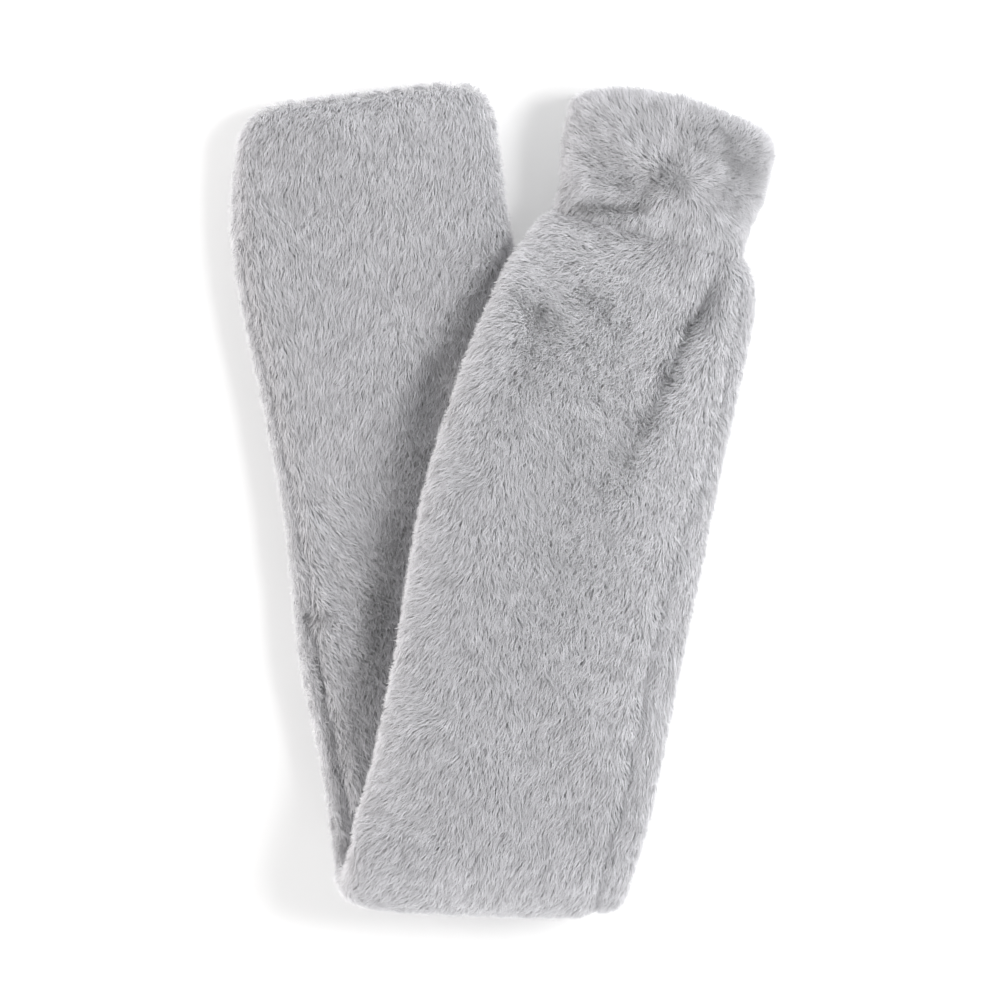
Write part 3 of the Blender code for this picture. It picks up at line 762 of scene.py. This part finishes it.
def ruffling_with_painted_light_and_shade(places, outward, upper):
    """How much the pile is ruffled and darkened by painted shade at places, from 0 to 1, or flattened and
    lightened by painted light if negative.
    """
    x, y = places[:, 0], places[:, 1]
    amount = sum(one_crease_depth(line, x, y) for line in RUFFLING_WITH_PAINTED_LIGHT_AND_SHADE)
    amount *= 1.0 + PATCHINESS * patches(x, y)
    amount += sum(one_crease_depth(line, x, y) for line in RUFFLING_WITH_PAINTED_SHADE_BELOW) * (upper < 0.5)
    amount = np.clip(amount, -0.5, 1.0)
    return np.where(amount > 0.0, amount * share_between(outward[:, 2], *PAINTED_SHADE_AND_RUFFLED_FACES), amount)


def combed(places, along, outward, parting, upper, strokes, nap):
    """The pile's direction, how far it stands up, and how much painted shade darkens it or, below 0,
    painted light lightens it.

    On faces that look up it follows the strokes, on those that look sideways it hangs, and on the
    underside it keeps the nap along the cloth. It parts at the seams, and stands where its directions
    cancel out.
    """
    plan = stroked(places, strokes[0])
    if len(strokes) > 1:
        plan = np.where(upper > 0.5, stroked(places, strokes[1]), plan)
    upward = share_between(outward[:, 2:3], *COMBED_FACES)
    sideways = (1.0 - upward) * share_between(outward[:, 2:3], *HANGING_FACES)
    mixed = plan * upward + along * nap * (1.0 - upward - sideways)
    mixed[:, 2] -= sideways[:, 0]
    wave = np.sin(WAVER_TURN * (places[:, :1] + places[:, 1:2]))
    mixed += parting + WAVER * wave * np.cross(outward, (0.0, 0.0, 1.0)) * (1.0 - upward ** 4)
    flat = mixed - outward * np.sum(mixed * outward, axis=-1, keepdims=True)
    lying = share_between(np.linalg.norm(flat, axis=-1), 0.0, LYING_PULL)
    amount = ruffling_with_painted_light_and_shade(places, outward, upper[:, 0])
    faces_up = share_between(outward[:, 2], *LEVEL_FACES)
    # Painted shade where the pile stands on level faces or is ruffled, painted light where it lies flatter.
    painted_light_and_shade = np.maximum((1.0 - lying) * faces_up + np.minimum(amount, 0.0), amount)
    standing = np.minimum(1.0 - lying, STEEP_STANDING + (1.0 - STEEP_STANDING) * faces_up)
    standing = np.maximum(standing + np.minimum(amount, 0.0), amount)
    return unit(flat), np.maximum(standing, SIDE_STANDING * sideways[:, 0]), painted_light_and_shade


def cell_numbers(places, size, table):
    """For each place, its cell's row of the random table, and the centre its pile is drawn to."""
    cell = np.floor(places / size).astype(np.int64)
    keys = cell * CELL_PRIMES
    numbers = table[(keys[:, 0] ^ keys[:, 1] ^ keys[:, 2]) % len(table)]
    return numbers, (cell + 0.2 + 0.6 * numbers[:, :3]) * size


def sampled(grid, weights, count, random, closed=False):
    """Roots spread over a grid by its cells' areas times their weights, with the fields at each."""
    fields = [grid.places, grid.outward, grid.along, grid.inward]
    fields += [grid.from_seam[..., None], grid.upper[..., None]]
    if closed:
        fields = [np.concatenate([field, field[:, :1]], axis=1) for field in fields]
    places = fields[0]
    rows, wide = places.shape[0] - 1, places.shape[1] - 1
    side_a = places[1:, 1:] - places[:-1, :-1]
    side_b = places[1:, :-1] - places[:-1, 1:]
    area = np.linalg.norm(np.cross(side_a, side_b), axis=-1) / 2
    reach = np.cumsum((area * weights).ravel())
    picks = (np.arange(count) + random.random(count)) / count * reach[-1]
    cell = np.minimum(np.searchsorted(reach, picks), rows * wide - 1)
    row, column = cell // wide, cell % wide
    a, b = random.random((2, count, 1))
    out = []
    for field in fields:
        near = field[row, column] * (1 - b) + field[row, column + 1] * b
        far = field[row + 1, column] * (1 - b) + field[row + 1, column + 1] * b
        out.append(near * (1 - a) + far * a)
    out[1], out[2] = unit(out[1]), unit(out[2])
    return out


def turned(direction, about, angle):
    """Directions turned about unit vectors at right angles to them."""
    return direction * np.cos(angle)[:, None] + np.cross(about, direction) * np.sin(angle)[:, None]


def pile(name, grid, weights, strokes, nap, count, material, random, closed=False):
    """One mesh of blades rooted on a grid."""
    root, outward, along, inward, from_seam, upper = sampled(grid, weights, count, random, closed)
    table = random.random((CELL_ROWS, 6))
    locks, lock_centre = cell_numbers(root, LOCK_SIZE, table)
    tufts, tuft_centre = cell_numbers(root + TUFT_SHIFT, TUFT_SIZE, table)
    tuft_centre = tuft_centre - TUFT_SHIFT
    over_seam = np.where((upper > 0.5) == (nap < 0.0), -1.0, 1.0)
    near_seam = 1.0 - share_between(from_seam, 0.0, PARTING_REACH)
    parting = inward * over_seam * broken(root[:, 1:2]) * SEAM_PARTING * near_seam
    direction, standing, painted_light_and_shade = combed(root, along, outward, parting, upper, strokes, nap)
    spread = random.normal(0.0, 1.0, count) * by_standing(STRAY, standing)
    spread += (locks[:, 3] - 0.5) * by_standing(LOCK_STRAY, standing)
    spread += (tufts[:, 3] - 0.5) * by_standing(TUFT_STRAY, standing)
    spread += wave_height(SWAY, root[:, 0], root[:, 1])
    direction = turned(direction, outward, spread)

    length = LEAST_LENGTH + CHANCE_LENGTH * random.random(count) + LOCK_LENGTH * locks[:, 4]
    length *= PILE_LENGTH * (1.0 - SHORTER * standing)
    length *= 1.0 - SHORTER * (1.0 - share_between(from_seam[:, 0], 0.0, SHORTER_REACH))
    root_lean = by_standing(ROOT_LEAN, standing)
    root_lean += random.normal(0.0, ROOT_STRAY, count) + (locks[:, 5] - 0.5) * ROOT_LOCK_STRAY
    tip_lean = by_standing(TIP_LEAN, standing)
    tip_lean += random.normal(0.0, TIP_STRAY, count) + (tufts[:, 4] - 0.5) * TIP_TUFT_STRAY
    half = (length / 2)[:, None]
    pull = (lock_centre - root) * by_standing(LOCK_PULL, standing)[:, None]
    pull += (tuft_centre - root) * by_standing(TUFT_PULL, standing)[:, None]
    pull -= outward * np.sum(pull * outward, axis=-1, keepdims=True)
    low = direction * np.cos(root_lean)[:, None] + outward * np.sin(root_lean)[:, None]
    high = direction * np.cos(tip_lean)[:, None] + outward * np.sin(tip_lean)[:, None]
    middle = root + low * half + pull * MIDDLE_PULL
    tip = middle + high * half + pull * (1.0 - MIDDLE_PULL)
    roll = np.clip(random.normal(0.0, ROLL, count), -1.0, 1.0)
    side = turned(unit(np.cross(outward, direction)), direction, roll)
    width = BLADE_WIDTH * (LEAST_WIDTH + CHANCE_WIDTH * random.random(count))[:, None]
    points = np.stack([root, middle - side * width / 2, middle + side * width / 2, tip], axis=1)
    points[..., 2] = np.maximum(points[..., 2], LOWEST_PILE)

    own = unit(np.cross(unit(tip - root), side))
    own *= np.sign(np.sum(own * outward, axis=-1, keepdims=True) + 1e-9)
    normal = unit(outward * CLOTH_SHARE + own * (1.0 - CLOTH_SHARE))
    tint = (random.random(count) + tufts[:, 5]) / 2
    # Each lock's own tone, darkened by painted shade where the pile stands and lightened by painted light
    # where it lies flatter.
    tone_with_painted_light_and_shade = (1.0 - LOCK_DEPTH * (1.0 - locks[:, 5])) * (1.0 - painted_light_and_shade * np.abs(painted_light_and_shade))
    return blade_mesh(name, points, normal, tint, tone_with_painted_light_and_shade, material)


def blade_mesh(name, points, normal, tint, lock_tone_with_painted_light_and_shade, material):
    """The mesh object of blades, each two triangles over four points, with its own cell to bake into."""
    count = len(points)
    first = np.arange(count)[:, None] * 4
    corners = np.array([0, 1, 2, 1, 3, 2])
    loops = (first + corners).ravel()
    mesh = bpy.data.meshes.new(name)
    mesh.vertices.add(count * 4)
    mesh.vertices.foreach_set("co", (points * MM).astype(np.float32).ravel())
    mesh.loops.add(count * 6)
    mesh.loops.foreach_set("vertex_index", loops.astype(np.int32))
    mesh.polygons.add(count * 2)
    mesh.polygons.foreach_set("loop_start", np.arange(0, count * 6, 3, dtype=np.int32))
    mesh.polygons.foreach_set("use_smooth", np.ones(count * 2, bool))
    up_blade = np.tile([0.0, 0.5, 0.5, 1.0], count)
    # The third channel holds each lock's tone with the painted light and shade.
    shades = np.stack([up_blade, np.repeat(tint, 4), np.repeat(lock_tone_with_painted_light_and_shade, 4), np.ones(count * 4)], axis=-1)
    layer = mesh.attributes.new("pile", "FLOAT_COLOR", "POINT")
    layer.data.foreach_set("color", shades.astype(np.float32).ravel())

    wide = int(math.ceil(math.sqrt(count)))
    cell = np.stack([np.arange(count) % wide, np.arange(count) // wide], axis=-1)[:, None, :]
    inside = np.array([(0.5, 0.15), (0.2, 0.5), (0.8, 0.5), (0.5, 0.85)])
    uv = ((cell + inside[corners][None]) / wide).reshape(-1, 2)
    mesh.uv_layers.new(name="OFBake").data.foreach_set("uv", uv.astype(np.float32).ravel())
    mesh.update(calc_edges=True)
    mesh.validate()
    mesh.normals_split_custom_set_from_vertices(np.repeat(normal, 4, axis=0).astype(np.float32))
    mesh.materials.append(material)
    made = bpy.data.objects.new(name, mesh)
    bpy.context.scene.collection.objects.link(made)
    return made


# ---------------------------------------- materials


def shader_of(material):
    """A material's node tree and its main shader."""
    material.use_nodes = True
    return material.node_tree, material.node_tree.nodes["Principled BSDF"]


def node(tree, kind, **settings):
    """A new shader node with its properties set."""
    made = tree.nodes.new(kind)
    for key, value in settings.items():
        setattr(made, key, value)
    return made


def pile_material():
    """The pile: darker at its roots as painted shade deep in the pile, with each blade and lock of its own
    tone, and painted light and shade where it lies flat or stands.
    """
    tree, shader = shader_of(bpy.data.materials.new("plush_pile"))
    shader.inputs["Roughness"].default_value = 0.7
    shader.inputs["Specular IOR Level"].default_value = 0.25
    shader.inputs["Sheen Weight"].default_value = 0.25
    shader.inputs["Sheen Roughness"].default_value = 0.5
    shader.inputs["Sheen Tint"].default_value = (1.0, 0.98, 0.96, 1.0)
    read = node(tree, "ShaderNodeAttribute", attribute_name="pile")
    parts = node(tree, "ShaderNodeSeparateColor")
    tree.links.new(read.outputs["Color"], parts.inputs["Color"])
    ramp = node(tree, "ShaderNodeValToRGB")
    stops = ramp.color_ramp.elements
    # Roots darker than tips: painted shade deep in the pile.
    stops[0].color = (0.62, 0.62, 0.64, 1.0)
    stops[1].color = (0.86, 0.86, 0.885, 1.0)
    stops.new(0.5).color = (0.80, 0.80, 0.825, 1.0)
    tree.links.new(parts.outputs["Red"], ramp.inputs["Fac"])
    blade = node(tree, "ShaderNodeMapRange")
    blade.inputs["To Min"].default_value = 0.86
    blade.inputs["To Max"].default_value = 1.1
    tree.links.new(parts.outputs["Green"], blade.inputs["Value"])
    # Each lock's tone together with the painted shade and painted light of standing and flattened pile.
    lock_tone_painted_light_and_shade_range = node(tree, "ShaderNodeMapRange")
    lock_tone_painted_light_and_shade_range.inputs["To Min"].default_value = 0.62
    lock_tone_painted_light_and_shade_range.inputs["To Max"].default_value = 1.06
    tree.links.new(parts.outputs["Blue"], lock_tone_painted_light_and_shade_range.inputs["Value"])
    both = node(tree, "ShaderNodeMath", operation="MULTIPLY")
    tree.links.new(blade.outputs["Result"], both.inputs[0])
    tree.links.new(lock_tone_painted_light_and_shade_range.outputs["Result"], both.inputs[1])
    tone_with_painted_light_and_shade = node(tree, "ShaderNodeVectorMath", operation="SCALE")
    tree.links.new(ramp.outputs["Color"], tone_with_painted_light_and_shade.inputs[0])
    tree.links.new(both.outputs[0], tone_with_painted_light_and_shade.inputs["Scale"])
    tree.links.new(tone_with_painted_light_and_shade.outputs["Vector"], shader.inputs["Base Color"])
    return bpy.data.materials["plush_pile"]


def ground_material():
    """The dense under-pile and backing between the blades, in a darker grey than the pile as painted shade
    deep in the pile.
    """
    tree, shader = shader_of(bpy.data.materials.new("plush_ground"))
    shader.inputs["Roughness"].default_value = 0.95
    shader.inputs["Specular IOR Level"].default_value = 0.15
    where = node(tree, "ShaderNodeTexCoord")
    stretched = node(tree, "ShaderNodeMapping")
    stretched.inputs["Scale"].default_value = (1400.0, 420.0, 900.0)
    tree.links.new(where.outputs["Object"], stretched.inputs["Vector"])
    grain = node(tree, "ShaderNodeTexNoise")
    grain.inputs["Detail"].default_value = 3.0
    grain.inputs["Scale"].default_value = 1.0
    tree.links.new(stretched.outputs["Vector"], grain.inputs["Vector"])
    ramp = node(tree, "ShaderNodeValToRGB")
    # Darker than the pile's roots: painted shade deep in the pile, with a streaky grain.
    low, high = ramp.color_ramp.elements
    low.position = 0.3
    low.color = (0.42, 0.42, 0.435, 1.0)
    high.position = 0.7
    high.color = (0.58, 0.58, 0.60, 1.0)
    tree.links.new(grain.outputs["Fac"], ramp.inputs["Fac"])
    tree.links.new(ramp.outputs["Color"], shader.inputs["Base Color"])
    bump = node(tree, "ShaderNodeBump")
    bump.inputs["Strength"].default_value = 0.6
    bump.inputs["Distance"].default_value = 0.0006
    tree.links.new(grain.outputs["Fac"], bump.inputs["Height"])
    tree.links.new(bump.outputs["Normal"], shader.inputs["Normal"])
    return bpy.data.materials["plush_ground"]


# ---------------------------------------- floor, light and camera


def make_floor():
    """A plain pale floor, with a faint glow of its own so that it shows white."""
    half = 4.0
    corners = np.array([(-half, -half, 0), (half, -half, 0), (half, half, 0), (-half, half, 0)]) / MM
    material = bpy.data.materials.new("pale_floor")
    shader = shader_of(material)[1]
    shader.inputs["Base Color"].default_value = (0.97, 0.97, 0.97, 1.0)
    shader.inputs["Roughness"].default_value = 0.9
    shader.inputs["Specular IOR Level"].default_value = 0.1
    shader.inputs["Emission Color"].default_value = (1.0, 1.0, 1.0, 1.0)
    shader.inputs["Emission Strength"].default_value = 0.25
    floor = mesh_object("floor", corners, np.array([[0, 1, 2, 3]]), material)


def make_light():
    """A white tent, brighter low down than overhead, and four soft lamps."""
    world = bpy.data.worlds.new("tent")
    bpy.context.scene.world = world
    world.use_nodes = True
    tree = world.node_tree
    where = node(tree, "ShaderNodeTexCoord")
    split = node(tree, "ShaderNodeSeparateXYZ")
    tree.links.new(where.outputs["Generated"], split.inputs["Vector"])
    ramp = node(tree, "ShaderNodeValToRGB")
    low, high = ramp.color_ramp.elements
    low.color = (1.0, 1.0, 1.0, 1.0)
    high.color = (0.12, 0.12, 0.12, 1.0)
    tree.links.new(split.outputs["Z"], ramp.inputs["Fac"])
    background = tree.nodes["Background"]
    background.inputs["Strength"].default_value = 1.0
    tree.links.new(ramp.outputs["Color"], background.inputs["Color"])

    for name, azimuth, elevation, wide, high, power, colour in LAMPS:
        lamp_data = bpy.data.lights.new(name, "AREA")
        lamp_data.shape = "RECTANGLE"
        lamp_data.size = wide
        lamp_data.size_y = high
        lamp_data.energy = power
        lamp_data.color = colour
        lamp = bpy.data.objects.new(name, lamp_data)
        turn, rise = math.radians(azimuth), math.radians(elevation)
        towards = Vector((math.cos(turn) * math.cos(rise), math.sin(turn) * math.cos(rise), math.sin(rise)))
        lamp.location = towards * LAMP_DISTANCE
        lamp.rotation_mode = "QUATERNION"
        lamp.rotation_quaternion = towards.to_track_quat("Z", "Y")
        bpy.context.scene.collection.objects.link(lamp)
    bpy.context.scene.view_settings.view_transform = "Standard"


def make_camera():
    """Straight above the cover, far enough away to flatten it, with the photograph's framing."""
    span = 0.475
    aim = (-0.0008, -0.001, 0.03)
    data = bpy.data.cameras.new("camera")
    data.lens = 250.0
    data.sensor_width = 36.0
    away = span * data.lens / data.sensor_width
    camera = bpy.data.objects.new("camera", data)
    camera.location = (aim[0], aim[1], away + aim[2])
    data.clip_end = 20.0
    bpy.context.scene.collection.objects.link(camera)
    bpy.context.scene.camera = camera


# ---------------------------------------- putting it together


def sheltered(grid, tree, reach, closed=False):
    """Which cells of a grid have cloth close over them, and which look down, as weights for the pile."""
    places = grid.places
    outward = grid.outward
    if closed:
        places = np.concatenate([places, places[:, :1]], axis=1)
        outward = np.concatenate([outward, outward[:, :1]], axis=1)
    middle = (places[1:, 1:] + places[:-1, :-1] + places[1:, :-1] + places[:-1, 1:]) / 4
    normal = unit(outward[1:, 1:] + outward[:-1, :-1] + outward[1:, :-1] + outward[:-1, 1:])
    weights = UNDERSIDE_PILE + (1.0 - UNDERSIDE_PILE) * share_between(normal[..., 2], *FULL_PILE_FACES)
    for index in np.ndindex(weights.shape):
        start = Vector(middle[index] + normal[index] * SHELTER_START)
        if tree.ray_cast(start, Vector(normal[index]), reach)[0] is not None:
            weights[index] *= SHELTERED_PILE
    return weights


def make_sheets(frames, distances, ground):
    """The three sheets, and for each the grid that its pile is rooted on."""
    grids = {}
    sheets = {}
    for panel, is_back in (("front_panel", False), ("back_panel", True)):
        grids[panel] = panel_grid(
            frames, distances, is_back, ROOT_DEPTH, COVERED_ROOT_DEPTH, ROOT_FLOOR, GROUND_GROOVE
        )
        inner = panel_grid(frames, distances, is_back, WALL, NECK_WALL, WALL - PRESSED, 0.0)
        sheets[panel] = panel_sheet(panel + "_cloth", grids[panel], inner, ground)

    outside = smooth_points(COLLAR_OUTSIDE, COLLAR_OUTSIDE_STEPS)
    places, facing = collar_grid(outside + smooth_points(COLLAR_INSIDE, COLLAR_INSIDE_STEPS))
    sheets["collar"] = collar_sheet("collar_cloth", places, ground)
    rings = len(outside)
    shape = (rings, COLLAR_COLUMNS)
    from_seam = np.full(shape, FAR_FROM_SEAMS)
    grids["collar"] = finished_grid(places[:rings], facing[:rings], from_seam, np.ones(shape), True)
    return grids, sheets


def search_tree(sheets):
    """The sheets' faces, in millimetres, as one tree to cast rays at."""
    points, faces = [], []
    for sheet in sheets.values():
        faces += [[len(points) + i for i in face.vertices] for face in sheet.data.polygons]
        points += [vertex.co / MM for vertex in sheet.data.vertices]
    return BVHTree.FromPolygons(points, faces)


def make_piles(grids, tree, distances, plush, random):
    """The meshes of pile on each sheet."""
    furs = {}
    under_collar = distances[1:] - distances[-1] + COLLAR_LENGTH - LIP_DEPTH > 0.0
    for panel, nap in (("front_panel", -1.0), ("back_panel", 1.0)):
        weights = sheltered(grids[panel], tree, PANEL_SHELTER)
        weights[under_collar] = 0.0
        furs[panel] = [
            pile(
                f"{panel}_pile_{part}", grids[panel], weights, (LOWER_COMB, UPPER_COMB),
                nap, PANEL_BLADES, plush, random,
            )
            for part in (1, 2)
        ]
    grid = grids["collar"]
    weights = sheltered(grid, tree, COLLAR_SHELTER, closed=True)
    furs["collar"] = [
        pile("collar_pile", grid, weights, (COLLAR_COMB,), 1.0, COLLAR_BLADES, plush, random, closed=True)
    ]
    return furs


def main():
    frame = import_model()
    random = np.random.default_rng(SEED)
    make_floor()
    make_light()
    make_camera()
    ground, plush = ground_material(), pile_material()

    frames, distances = sleeve_path()
    grids, sheets = make_sheets(frames, distances, ground)
    furs = make_piles(grids, search_tree(sheets), distances, plush, random)
    for name, sheet in sheets.items():
        for piece in (sheet, *furs[name]):
            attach(piece, "root")
        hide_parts(name)


main()
